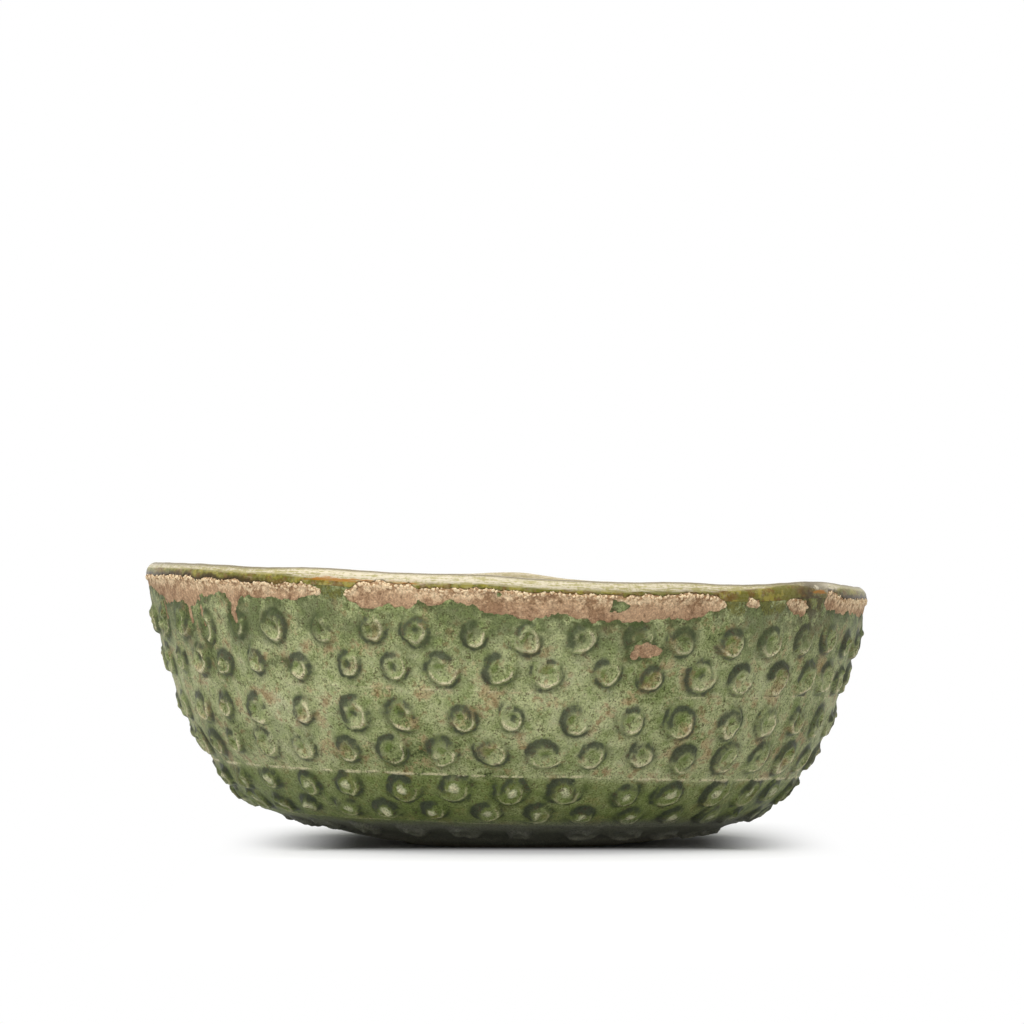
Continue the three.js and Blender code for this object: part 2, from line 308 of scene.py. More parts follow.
def lipPoint(angle, turn, coat):  # round the lip: turn 0 is outside at the shoulder, pi inside
    outer = inWall(angle, 4, bowl["clayDepth"])
    inner = inWall(angle, 4, innerDepth(4) + bowl["glazeThickness"])
    middle = (outer + inner) / 2
    across = outer - inner
    half = np.linalg.norm(across, axis=-1, keepdims=True) / 2
    side = across / (2 * half)
    point = middle + side * ((half + coat) * math.cos(turn))
    rise = bowl["lipRise"] - bowl["liningThickness"] + coat
    point[..., 2] += rise * np.sign(math.sin(turn)) * abs(math.sin(turn)) ** bowl["lipSquareness"]
    return point


def roughen(points, size, amount, seed):  # smooth value noise on a lattice, for shapes made in numpy
    span = 32
    generator = np.random.default_rng(seed)
    lattice = generator.random((span, span, span))
    scaled = points / size
    base = np.floor(scaled).astype(int)
    share = scaled - base
    share = share * share * (3 - 2 * share)
    total = np.zeros(points.shape[:-1])
    for corner in np.ndindex(2, 2, 2):
        weight = 1
        for axis in range(3):
            weight = weight * (share[..., axis] if corner[axis] else 1 - share[..., axis])
        cell = (base + corner) % span
        total += weight * lattice[cell[..., 0], cell[..., 1], cell[..., 2]]
    return (total - 0.5) * 2 * amount


def unevenness(points, layers):  # each layer has its size, amount and seed
    return sum(roughen(points, *layer) for layer in layers)


def beads(points, size, seed):  # 1 on the middle of a crumb, 0 between crumbs
    span = 24
    generator = np.random.default_rng(seed)
    offsets = generator.random((span, span, span, 3))
    scaled = points / size
    base = np.floor(scaled).astype(int)
    nearest = np.full(points.shape[:-1], 9.0)
    for corner in np.ndindex(3, 3, 3):
        cell = base + corner - 1
        inside = cell % span
        spots = cell + offsets[inside[..., 0], inside[..., 1], inside[..., 2]]
        nearest = np.minimum(nearest, np.linalg.norm(scaled - spots, axis=-1))
    return np.clip(1 - nearest ** 2 * 1.6, 0, 1)


def smoothStep(value, low, high):
    share = np.clip((value - low) / (high - low), 0, 1)
    return share * share * (3 - 2 * share)


# bare patches, where the glaze has broken away under the lip

# degrees from the front, and the depths where bare clay starts and ends; there is none where start passes end
bareBand = [
    (-90, 2.1, 4.4), (-82, 2.2, 4.0), (-75, 2.2, 4.6), (-71, 2.0, 6.6), (-64, 2.1, 6.4),
    (-59, 2.2, 7.0), (-57, 2.4, 5.2), (-52, 2.2, 4.7), (-49.6, 2.5, 4.9), (-47.8, 2.3, 7.0),
    (-46.2, 2.2, 5.6), (-44.5, 2.4, 4.9), (-42, 2.6, 5.0), (-38, 2.6, 5.2), (-35, 2.5, 5.0),
    (-32, 2.6, 4.7), (-29.8, 3.6, 4.2), (-28.9, 5, 3), (-26.8, 5, 3), (-25.9, 4.1, 4.6),
    (-24.4, 3.0, 5.3), (-23, 2.0, 5.9), (-21, 1.7, 6.4), (-19.6, 1.4, 5.6), (-16.2, 1.8, 5.2),
    (-14.9, 1.6, 5.7), (-13.6, 2.4, 4.6), (-11, 2.3, 5.4), (-9.7, 2.3, 4.8), (-7, 2.2, 4.2),
    (-5.8, 2.3, 4.6), (-3.3, 2.2, 5.9), (0, 2.2, 6.3), (3.1, 2.3, 6.7), (5.7, 2.0, 6.4),
    (8, 2.1, 5.8), (12, 2.1, 6.5), (14.7, 2.2, 6.8), (20, 2.1, 6.1), (22.8, 2.0, 6.5),
    (26.5, 2.1, 6.1), (30, 1.7, 5.9), (31.7, 1.7, 4.8), (34.6, 2.2, 4.3), (36.0, 3.5, 3.5),
    (36.8, 5, 3), (39.4, 5, 3), (40.4, 2.1, 3.9), (42.5, 2.4, 4.1), (43.6, 5, 3), (48, 5, 3),
    (49.2, 2.7, 3.9), (51.5, 2.8, 5.2), (54.2, 3.3, 5.8), (55.4, 5, 3), (59.2, 5, 3),
    (60.4, 1.6, 4.2), (62.6, 1.3, 4.4), (64, 2.1, 4.4), (70, 2.4, 4.7), (75, 2.3, 4.9),
    (81, 2.0, 4.8), (90, 2.0, 4.7), (104, 2.0, 5.4), (112, 3.4, 4.4), (116, 5, 3), (121, 5, 3),
    (125, 2.6, 4.6), (135, 1.6, 5.6), (148, 2.2, 5.0), (156, 3.0, 3.9), (160, 5, 3), (168, 5, 3),
    (172, 2.4, 4.4), (184, 1.5, 6.2), (196, 2.2, 5.6), (206, 1.4, 6.4), (220, 2.3, 5.2), (227, 5, 3),
    (236, 5, 3), (241, 2.2, 4.8), (252, 1.3, 5.9), (262, 1.8, 4.9), (270, 2.1, 4.4)]
# chips lower down and islands of glaze: degrees from the front, height over the table, half width, half height
chips = [(23, 34.1, 2.4, 1.2), (21, 33.4, 1.0, 0.8), (-39.5, 31.4, 1.25, 0.75),
         (-61, 40.6, 0.5, 2.4), (-57, 39.9, 0.5, 2.8), (-72, 41.0, 0.6, 2.0), (-48, 40.0, 0.6, 1.8),
         (137, 30.5, 1.5, 1.1), (214, 36.0, 1.9, 0.9)]
islands = [(17.4, 41.4, 1.7, 1.0), (-1.0, 43.5, 0.45, 0.4), (196, 43.3, 1.2, 0.7)]


def spot(points, degrees, where, grow):  # above 0 inside the spot
    best = np.full(points.shape[:-1], -9.0)
    for place, height, halfWidth, halfHeight in where:
        turned = (degrees - place + 180) % 360 - 180
        across = np.radians(turned) * np.hypot(points[..., 0], points[..., 1]) / halfWidth
        up = (points[..., 2] - height) / halfHeight
        best = np.maximum(best, (1 - np.hypot(across, up)) * min(halfWidth, halfHeight) * grow)
    return best


# depths start this far above the shoulder; the edges are ragged, the upper one less, the lower one also wide
bareEdge = {"above": 2.7, "ragged": [(1.3, 0.42, 31), (0.5, 0.3, 32)], "wide": [(4.0, 0.45, 33)],
            "upperShare": 0.8, "chipGrow": 1.2}


def bareAmount(points, angle):  # millimetres into the bare clay, from its nearest edge and from its upper edge
    degrees = fromFront(angle)
    places, starts, ends = zip(*bareBand)
    edge = bareEdge
    depth = ringPoint(4, angle)[..., 2] + edge["above"] - points[..., 2]
    ragged, wide = unevenness(points, edge["ragged"]), unevenness(points, edge["wide"])
    upper = depth - np.interp(degrees, places, starts, period=360) + ragged * edge["upperShare"]
    lower = np.interp(degrees, places, ends, period=360) - depth + ragged + wide
    inChip, island = (spot(points, degrees, where, edge["chipGrow"]) + ragged for where in (chips, islands))
    return np.minimum(np.maximum(np.minimum(upper, lower), inChip), -island), upper


# meshes from grids of points

def ringQuads(rowStarts, columns):  # quads between each row of points and the next, all the way round
    around = np.arange(columns)
    following = (around + 1) % columns
    return np.concatenate([np.stack([low + around, low + following, high + following, high + around], -1)
                           for low, high in zip(rowStarts[:-1], rowStarts[1:])])


def meshFromGrid(name, front, back, attributes):
    # front: rows x columns x 3 in millimetres, its outside facing out when rows climb; back: fewer such rows
    frontRows, columns = front.shape[:2]
    allRows = frontRows + back.shape[0]
    points = np.concatenate([front.reshape(-1, 3), back.reshape(-1, 3)])
    order = np.array([*range(frontRows), *range(allRows - 1, frontRows - 1, -1), 0])
    piece = finishMesh(name, points, ringQuads(order * columns, columns), attributes)
    # the front keeps its own shading at its two borders
    border = np.zeros(len(points), bool)
    for row in (0, frontRows - 1):
        border[row * columns:(row + 1) * columns] = True
    pairs = np.empty(len(piece.data.edges) * 2, np.int32)
    piece.data.edges.foreach_get("vertices", pairs)
    low, high = pairs.reshape(-1, 2).T
    sharp = border[low] & border[high] & (low // columns == high // columns)
    layer = piece.data.attributes.new("sharp_edge", "BOOLEAN", "EDGE")
    layer.data.foreach_set("value", sharp)
    return piece


def capGrid(name, front, attributes=None):  # a closed form, its two end rows filled round a middle point
    rowsCount, columns = front.shape[:2]
    quads = ringQuads(np.arange(rowsCount) * columns, columns)
    piece = finishMesh(name, front.reshape(-1, 3), quads, attributes)
    made = bmesh.new()
    made.from_mesh(piece.data)
    made.verts.ensure_lookup_table()
    for start, turnedOver in ((0, True), ((rowsCount - 1) * columns, False)):
        ring = [made.verts[start + i] for i in range(columns)]
        middle = made.verts.new(sum((v.co for v in ring), Vector()) / columns)
        made.verts.ensure_lookup_table()
        for here, following in zip(ring, ring[1:] + ring[:1]):
            face = made.faces.new((following, here, middle) if turnedOver else (here, following, middle))
            face.smooth = True
    made.to_mesh(piece.data)
    made.free()
    return piece


def finishMesh(name, points, quads, attributes=None):
    mesh = bpy.data.meshes.new(name)
    mesh.vertices.add(len(points))
    mesh.vertices.foreach_set("co", (points * mm).astype(np.float32).ravel())
    mesh.loops.add(quads.size)
    mesh.loops.foreach_set("vertex_index", quads.astype(np.int32).ravel())
    mesh.polygons.add(len(quads))
    mesh.polygons.foreach_set("loop_start", (np.arange(len(quads)) * 4).astype(np.int32))
    mesh.update(calc_edges=True)
    mesh.validate()
    mesh.shade_smooth()
    for key, values in (attributes or {}).items():
        kind = "FLOAT_VECTOR" if values.ndim == 2 else "FLOAT"
        layer = mesh.attributes.new(key, kind, "POINT")
        layer.data.foreach_set("vector" if values.ndim == 2 else "value", values.astype(np.float32).ravel())
    piece = bpy.data.objects.new(name, mesh)
    bpy.context.scene.collection.objects.link(piece)
    return piece


# the relief on the green glaze, by Geometry Nodes

bands = {
    "greenUnderside": {
        "stretch": 0, "columns": 1000, "spacing": 0.3, "curls": (24, 0), "firstCurl": (-10.4, 0),
        "below": 12.5, "above": 0.5, "tall": 1.0, "boss": 0.45, "lines": (0.0, 0.6), "darker": 30.0,
        "mapRadius": 38.0},
    "greenLowerBand": {
        "stretch": 1, "columns": 1300, "spacing": 0.28, "curls": (34, 33), "firstCurl": (-3.4, 1.5),
        "below": 1.6, "above": 0.0, "tall": 0.9, "boss": 0.95, "lines": (0.6, 0.9), "darker": 0.0},
    "greenMiddleBand": {
        "stretch": 2, "columns": 1400, "spacing": 0.28, "curls": (39, 37), "firstCurl": (-2.4, 2.0),
        "below": 1.5, "above": 1.4, "tall": 0.9, "boss": 0.12, "lines": (0.9, 0.55), "darker": -30.0},
    "greenUpperBand": {
        "stretch": 3, "columns": 1400, "spacing": 0.28, "curls": (42, 42), "firstCurl": (-1.1, 3.7),
        "below": 0.5, "above": 4.1, "tall": 1.0, "boss": 0.1, "lines": (0.55, 0.0), "darker": -30.0},
}
backStep = 9  # the coat's back has one row for so many of its front
relief = {
    "Curl Radius": 2.56, "Curl Height": 0.56, "Ridge Width": 0.6, "Mound Height": 0.4, "Coil": 0.5,
    "Least Sweep": 0.7, "Most Sweep": 1.2, "Open Side": 0.4, "Open Spread": 0.2, "Mirrored Share": 0.5,
    "Head Height": 0.1, "Moat Depth": 0.16, "Dish Depth": 0.34, "Size Spread": 0.17, "Wander": 0.75,
    "Line Height": 0.24, "Line Waver": 1.3, "Sink Depth": 0.45, "Edge Thinning": 0.13, "Seed": 7,
}
# what each band sets for itself
reliefPlaces = {
    "Lower Count": 24, "Upper Count": 0, "Lower Row": 3.0, "Upper Row": 9.0, "Lower Start": 0.0,
    "Upper Start": 0.0, "Band Radius": 60.0, "Band Top": 17.0, "Curl Share": 1.0, "Boss Height": 0.3,
    "Lower Line": 1.0, "Upper Line": 1.0, "Flush Top": 0.0, "Darker From": 0.0,
}


def newTree(name, settings):  # a tree with a socket for each setting, and what its input node gives
    tree = bpy.data.node_groups.new(name, "GeometryNodeTree")
    sockets = {}
    tree.interface.new_socket("Geometry", in_out="INPUT", socket_type="NodeSocketGeometry")
    for key, value in settings.items():
        kind = "NodeSocketInt" if isinstance(value, int) else "NodeSocketFloat"
        socket = tree.interface.new_socket(key, in_out="INPUT", socket_type=kind)
        socket.default_value = value
        sockets[key] = socket.identifier
    tree.interface.new_socket("Geometry", in_out="OUTPUT", socket_type="NodeSocketGeometry")
    b = Builder(tree)
    given = {socket.name: Wire(b, socket) for socket in tree.nodes.new("NodeGroupInput").outputs if socket.name}
    return tree, b, sockets, given


def finishTree(b, geometry, material):
    geometry = b.add("GeometryNodeSetMaterial", None, {"Geometry": geometry, "Material": material})
    target = b.tree.nodes.new("NodeGroupOutput")
    b.tree.links.new(geometry.socket, target.inputs[0])


def storeAll(b, geometry, values):
    for name, value in values.items():
        geometry = b.add("GeometryNodeStoreNamedAttribute", {"data_type": "FLOAT", "domain": "POINT"},
                         {"Geometry": geometry, "Name": name, "Value": value})
    return geometry


def reliefTree(material):
    tree, b, sockets, given = newTree("curlRelief", {**relief, **reliefPlaces})

    # one point for each curl on a flat map of the band: x round the bowl, y up the wall, in millimetres
    lowerCount, upperCount = given["Lower Count"], given["Upper Count"]
    index = b.add("GeometryNodeInputIndex")
    inUpper = index.math("GREATER_THAN", lowerCount + 1.5)
    column = index - inUpper * (lowerCount + 2) - 1  # from -1, so that the map's two ends share their curls
    count = lowerCount + inUpper * (upperCount - lowerCount)
    own = column.math("FLOORED_MODULO", count) + inUpper * 100
    row = given["Lower Row"] + inUpper * (given["Upper Row"] - given["Lower Row"])
    start = given["Lower Start"] + inUpper * (given["Upper Start"] - given["Lower Start"])

    def chance(low, high, salt):
        return b.add("FunctionNodeRandomValue", {"data_type": "FLOAT"},
                     {2: low, 3: high, 7: own.math("ROUND"), 8: given["Seed"] + salt}, 1)

    wander = given["Wander"]
    mapX = (column / count + start) * (given["Band Radius"] * (2 * math.pi)) + chance(-1.0, 1.0, 1) * wander
    mapPlace = b.vector(mapX, row + chance(-1.0, 1.0, 2) * wander * 0.6)
    total = lowerCount + upperCount + 2 + upperCount.math("MINIMUM", 1) * 2
    points = b.add("GeometryNodePoints", None, {"Count": total, "Position": mapPlace, "Radius": 0.001})
    sweepOf = given["Least Sweep"] + (given["Most Sweep"] - given["Least Sweep"]) * chance(0.0, 1.0, 8)
    mirrorOf = 1 - 2 * chance(0.0, 1.0, 9).math("LESS_THAN", given["Mirrored Share"])
    points = storeAll(b, points, {
        "turn": given["Open Side"] + chance(-1.0, 1.0, 3) * given["Open Spread"],
        "size": 1 + chance(-1.0, 1.0, 4) * given["Size Spread"], "tall": chance(0.75, 1.15, 5),
        "squeeze": chance(0.86, 1.06, 6), "bossed": chance(0.5, 1.0, 7), "glazed": chance(0.45, 1.15, 10),
        "sweep": sweepOf, "mirror": mirrorOf, "slant": chance(0.05, 1.25, 11), "cored": chance(0.0, 1.0, 12)})

    def attribute(name, kind="FLOAT"):
        return b.add("GeometryNodeInputNamedAttribute", {"data_type": kind}, {"Name": name})

    place = b.add("GeometryNodeInputPosition")
    roundMap, upMap, front, stretchRound, bare = (
        attribute(name) for name in ("roundMap", "upMap", "front", "stretchRound", "bareAmount"))
    warp, fineWarp = b.noise(place, 240.0, 1.0, output=1), b.noise(place, 760.0, 1.0, output=1)
    warpX, warpY = ((b.axis(warp, axis) - 0.5) * 1.4 + (b.axis(fineWarp, axis) - 0.5) * 0.6 for axis in (0, 1))
    nearest = b.add("GeometryNodeSampleNearest", {"domain": "POINT"}, [points, b.vector(roundMap, upMap)])

    def fromCurl(name, kind="FLOAT"):
        value = attribute(name, kind) if name != "position" else b.add("GeometryNodeInputPosition")
        return b.add("GeometryNodeSampleIndex", {"data_type": kind, "domain": "POINT"},
                     {0: points, 1: value, 2: nearest})

    centre = fromCurl("position", "FLOAT_VECTOR")
    across = (roundMap - b.axis(centre, 0)) * stretchRound / fromCurl("squeeze") + warpX
    dx = across * fromCurl("mirror")
    dy = upMap - b.axis(centre, 1) + warpY
    reach = (dx * dx + dy * dy).math("SQRT")
    turn, sweep = fromCurl("turn"), fromCurl("sweep")
    turned = (dy.math("ARCTAN2", dx) / (2 * math.pi) - turn).math("FLOORED_MODULO", 1.0)
    size = fromCurl("size") * given["Curl Radius"]
    first = size * (1 - given["Coil"] * turned)
    second = size * (1 - given["Coil"] * (turned + 1))
    width = given["Ridge Width"]
    firstFade = b.smooth(turned, 0.0, 0.16) * (1 - b.smooth(turned, sweep - 0.04, sweep + 0.04))
    secondFade = 1 - b.smooth(turned + 1, sweep - 0.04, sweep + 0.04)
    ridge = b.bell(reach - first, width) * firstFade
    inner = b.bell(reach - second, width * 0.85) * secondFade
    headTurn = (turn + sweep) * (2 * math.pi)
    headReach = size * (1 - given["Coil"] * sweep)
    headX = dx - headTurn.math("COSINE") * headReach
    headY = dy - headTurn.math("SINE") * headReach
    head = b.bell((headX * headX + headY * headY).math("SQRT"), width * 1.3)
    firm = 0.65 + 0.35 * b.smooth(b.noise(place, 380.0, 1.0), 0.38, 0.56)
    topSide = b.smooth((dy * 0.8 - across * 0.6) / (reach + 0.05), 0.2, 0.9)
    crest = (ridge * (1 - topSide * 0.5)).math("MAXIMUM", inner).math("MAXIMUM", head) * fromCurl("tall") * firm
    groove = b.bell(reach - first - size * 0.29, 0.34 + turned * 0.3) * b.smooth(turned, 0.04, 0.2)
    innerFade = 1 - b.smooth(turned + 1, sweep - 0.05, sweep + 0.2)
    moat = groove.math("MAXIMUM", b.bell(reach - second - size * 0.29, 0.5) * innerFade)
    knob = b.bell(reach, 0.95) * fromCurl("bossed")
    hollow = b.bell(reach, size * 0.4) * (1 - crest)
    # melted glaze gathers in the groove that winds round the ridge, most at the curl's upper left; the same
    # mark is also painted shade on the slopes turned from the light, inside at the upper left and outside at
    # the lower right
    slant, glazed = fromCurl("slant"), fromCurl("glazed")
    facing = (dy * slant.math("COSINE") - across * slant.math("SINE")) / (reach + 0.05)
    upper = b.smooth(facing, -0.25, 0.5)
    below = (across * 0.5 - dy * 0.86) / (reach + 0.05)
    weight = upper * (0.4 + glazed * 0.75) + b.smooth(below, -0.2, 0.6) * 0.62
    inTop = b.bell(reach - size * 0.82, 0.72) * upper * (glazed - 0.1)
    # painted shade in the curl's hollow, heaviest on its upper side
    shaded = b.bell(reach, size * 0.62) * (1 - crest) * (0.3 + upper * 0.7)
    core = b.bell(reach - 0.2, 0.6) * b.smooth(fromCurl("cored"), 0.66, 0.8) * 0.7
    patchy = 0.55 + 0.45 * b.smooth(b.noise(place, 260.0, 2.0), 0.4, 0.54)
    pooledAndShaded = (moat * (0.16 + weight) * patchy).math("MAXIMUM", inTop).math("MAXIMUM", core).math("MINIMUM", 1.0)
    halo = b.bell(reach - first - size * 0.36, 0.8) * (0.35 + firstFade * 0.65)
    # painted highlight on the ridge's inner slope, on the curl's side away from the upper left
    paintedGlint = b.bell(reach - first + 0.05, 0.3) * b.smooth(-facing, -0.3, 0.45) * firstFade

    # the register lines at the band's two edges
    waver = (b.noise(place, 55.0, 3.0) - 0.5) * given["Line Waver"]
    fromTop = given["Band Top"] - upMap + waver
    atLow = b.bell(upMap - waver, 0.36) * given["Lower Line"]
    atTop = b.bell(fromTop, 0.36) * given["Upper Line"]
    line = (atLow + atTop) * (0.25 + 0.75 * b.smooth(b.noise(place, 300.0, 3.0, 0.6), 0.4, 0.56))
    darker = b.smooth(given["Darker From"] + fromTop, -0.1, 1.5)

    # bare clay: the glaze thins out and dives under the clay's face
    gone = b.smooth(bare, -0.13, 0.13)
    brim = b.bell(bare + 0.25, 0.6)

    # soft unevenness of a hand-pressed wall, then everything along the outward way
    uneven = (b.noise(place, 90.0, 2.0) - 0.5) * 0.34 + (b.noise(place, 330.0, 2.0) - 0.5) * 0.26 + \
        (b.noise(place, 1100.0, 2.0) - 0.5) * 0.05
    away = (upMap.math("MINIMUM", given["Band Top"] - upMap) / 0.6).math("MINIMUM", 1.0)
    uneven = uneven * away.math("MAXIMUM", 1 - given["Flush Top"])  # flush where the lip's glaze begins
    mound = (1 - b.smooth(reach, size * 0.6, size * 1.5)) * given["Mound Height"]
    height = (crest * given["Curl Height"] + head * given["Head Height"] + mound) * given["Curl Share"] + \
        knob * given["Boss Height"] - moat * given["Moat Depth"] - hollow * given["Dish Depth"]
    raised = height * b.smooth(away, 0.0, 1.0) + line * given["Line Height"] + uneven
    kept = 1 - gone
    lift = raised * (1 - brim * 0.8) * kept - brim * given["Edge Thinning"] * kept - gone * given["Sink Depth"]
    offset = b.scaled(attribute("outward", "FLOAT_VECTOR"), lift * front * mm)
    geometry = storeAll(b, given["Geometry"], {
        "crest": crest * kept, "knob": knob * given["Boss Height"], "shaded": shaded, "line": line,
        "darker": darker, "pooledAndShaded": pooledAndShaded, "paintedGlint": paintedGlint, "halo": halo})
    geometry = b.add("GeometryNodeSetPosition", None, {"Geometry": geometry, "Offset": offset})
    finishTree(b, geometry, material)
    return tree, sockets


def applyTree(piece, tree, sockets, values):
    modifier = piece.modifiers.new("relief", "NODES")
    modifier.node_group = tree
    for name, value in values.items():
        modifier[sockets[name]] = value
    graph = bpy.context.evaluated_depsgraph_get()
    mesh = bpy.data.meshes.new_from_object(piece.evaluated_get(graph), preserve_all_data_layers=True,
                                           depsgraph=graph)
    piece.modifiers.clear()
    old = piece.data
    piece.data = mesh
    bpy.data.meshes.remove(old)
    mesh.name = piece.name


def makeGreenBand(name, tree, sockets):
    band = bands[name]
    number = band["stretch"]
    length = stretchLength(number)
    start = bowl["bareFoot"] / length if number == 0 else 0.0
    end = 1.0 if number < 3 else 1 - bowl["seam"] / length
    rows = int(length * (end - start) / band["spacing"]) + 1
    angle = turnRound(band["columns"])
    radius = band.get("mapRadius", 0.5 * (rings[number][0] + rings[number + 1][0]))
    keys = ("outward", "roundMap", "upMap", "stretchRound", "bareAmount", "fromUpperEdge")
    front, found = [], []
    for share in np.linspace(start, end, rows):
        points = outside(angle, number + share)
        front.append(points)
        found.append((outward(angle, number + share), (angle - frontAngle) * radius,
                      np.full(len(angle), share * length), np.hypot(points[:, 0], points[:, 1]) / radius,
                      *bareAmount(points, angle)))
    front, stored = np.array(front), {key: np.array(values) for key, values in zip(keys, zip(*found))}
    backRows = sorted({*range(0, rows, backStep), rows - 1})
    back = front[backRows] - stored["outward"][backRows] * bowl["glazeThickness"]
    attributes = {key: np.concatenate([*values, *values[backRows]]) for key, values in stored.items()}
    attributes["front"] = np.repeat([1.0, 0.0], [rows * len(angle), len(backRows) * len(angle)])
    piece = meshFromGrid(name, front, back, attributes)
    span = length - band["below"] - band["above"]
    rowCount = 2 if band["curls"][1] else 1
    values = {**relief, "Lower Count": band["curls"][0], "Upper Count": band["curls"][1],
              "Lower Row": band["below"] + span / rowCount / 2, "Upper Row": band["below"] + span * 0.75,
              "Lower Start": band["firstCurl"][0] / 360, "Upper Start": band["firstCurl"][1] / 360,
              "Band Radius": radius, "Band Top": length, "Boss Height": band["boss"],
              "Curl Share": band["tall"], "Lower Line": band["lines"][0], "Upper Line": band["lines"][1],
              "Flush Top": float(number == 3), "Darker From": band["darker"],
              "Seed": relief["Seed"] + 20 * number}
    applyTree(piece, tree, sockets, values)
    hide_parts("green_glaze_coat")
    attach(piece, "root")
    print(name, "has", len(piece.data.polygons), "faces")


# the clay, the lip's glaze and the lining

clayShape = {"columns": 1180, "bareFrom": 3.2, "sparseSpacing": 0.42, "denseSpacing": 0.27,
             "lipSteps": (12, 5), "lipCore": 1.1, "rough": [(1.1, 1.0, 3), (0.45, 0.6, 4)], "grain": 0.04,
             "crumbSize": 1.2, "crumbHeight": 0.12, "bareSwell": 0.12, "fringe": 0.85}


def alongBreak(points, bare, upper):  # the clay's upper edge, 1 to 0 over its fringe, and the lumps along it
    shape = clayShape
    fringe = (1 - smoothStep(upper, shape["fringe"] * 0.35, shape["fringe"])) * smoothStep(bare, -0.2, 0.1)
    lumps = beads(points, shape["crumbSize"], 5) * 0.6 + beads(points, shape["crumbSize"] * 0.5, 6) * 0.4
    return fringe, lumps


def makeClay(material):
    shape = clayShape
    angle = turnRound(shape["columns"])
    rows, fringes, uppers, crumbs = [], [], [], []
    plain = np.zeros(shape["columns"])

    def keep(points, fringe=plain, upper=plain, crumb=plain):
        rows.append(points)
        fringes.append(fringe)
        uppers.append(upper)
        crumbs.append(crumb)

    foot = ringPoint(0, angle)
    middle = np.array([rings[0][2], 0, 0])
    for share in (0.04, 0.35, 0.7, 1.0):
        keep(middle + (foot - middle) * share)
    for level in (bowl["bareFoot"] / stretchLength(0), 0.4, 0.7, 1.0, 1.5, 2.0, 2.5, 3.0, shape["bareFrom"]):
        keep(inWall(angle, level, bowl["glazeThickness"]))
    length = stretchLength(3)
    sparse = np.arange(shape["bareFrom"] + 0.02, 3.5, shape["sparseSpacing"] / length)
    dense = np.linspace(3.51, 4, int(0.49 * length / shape["denseSpacing"]))
    for level in [*sparse, *dense]:
        glazed = outside(angle, level)
        bare, upper = bareAmount(glazed, angle)
        rise = smoothStep(bare, -0.55, -0.1)
        depth = bowl["glazeThickness"] + (bowl["clayDepth"] - bowl["glazeThickness"]) * rise
        fringe, lumps = alongBreak(glazed, bare, upper)
        rough = unevenness(glazed, shape["rough"]) * shape["grain"]
        lift = rough * rise + fringe * lumps * shape["crumbHeight"]
        keep(glazed - outward(angle, level) * (depth - lift)[:, None], fringe, np.clip(upper, 0, 6), lumps)
    core = lipPoint(angle, math.pi / 2, -shape["lipCore"])
    for turn in riseTurns(*shape["lipSteps"])[1:]:
        nominal = lipPoint(angle, turn, bowl["liningThickness"])
        points = lipPoint(angle, turn, 0)
        bare, upper = bareAmount(nominal, angle)
        fringe, lumps = alongBreak(nominal, bare, upper)
        outwards = points - core
        outwards /= np.linalg.norm(outwards, axis=-1, keepdims=True)
        if turn > math.pi / 2:
            fringe, bare = plain, plain
        lift = fringe * lumps * shape["crumbHeight"] + smoothStep(bare, -0.5, 0) * shape["bareSwell"]
        keep(points + outwards * lift[:, None], fringe, np.clip(upper, 0, 6), lumps)
    for level in (3.6, 3.0, 2.4, 2.0, 1.6, 1.2, 0.8, 0.4, 0.0):
        keep(inWall(angle, level, innerDepth(level) + bowl["glazeThickness"]))
    ring = rows[-1]
    centre = ring.mean(axis=0)
    for share in (0.5, 0.04):
        keep(centre + (ring - centre) * share)
    attributes = {"fringe": np.array(fringes).ravel(), "fromUpperEdge": np.array(uppers).ravel(),
                  "crumbs": np.array(crumbs).ravel()}
    piece = capGrid("clayBody", np.array(rows), attributes)
    piece.data.materials.append(material)
    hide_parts("clay_body")
    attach(piece, "root")
    print("clayBody has", len(piece.data.polygons), "faces")
    return piece


crumbSettings = {"Spacing": 0.36, "Density": 9.0, "Radius": 0.33, "Smallest": 0.6, "Largest": 1.2,
                 "Roughness": 0.24, "Sunk": 0.12, "Seed": 4}


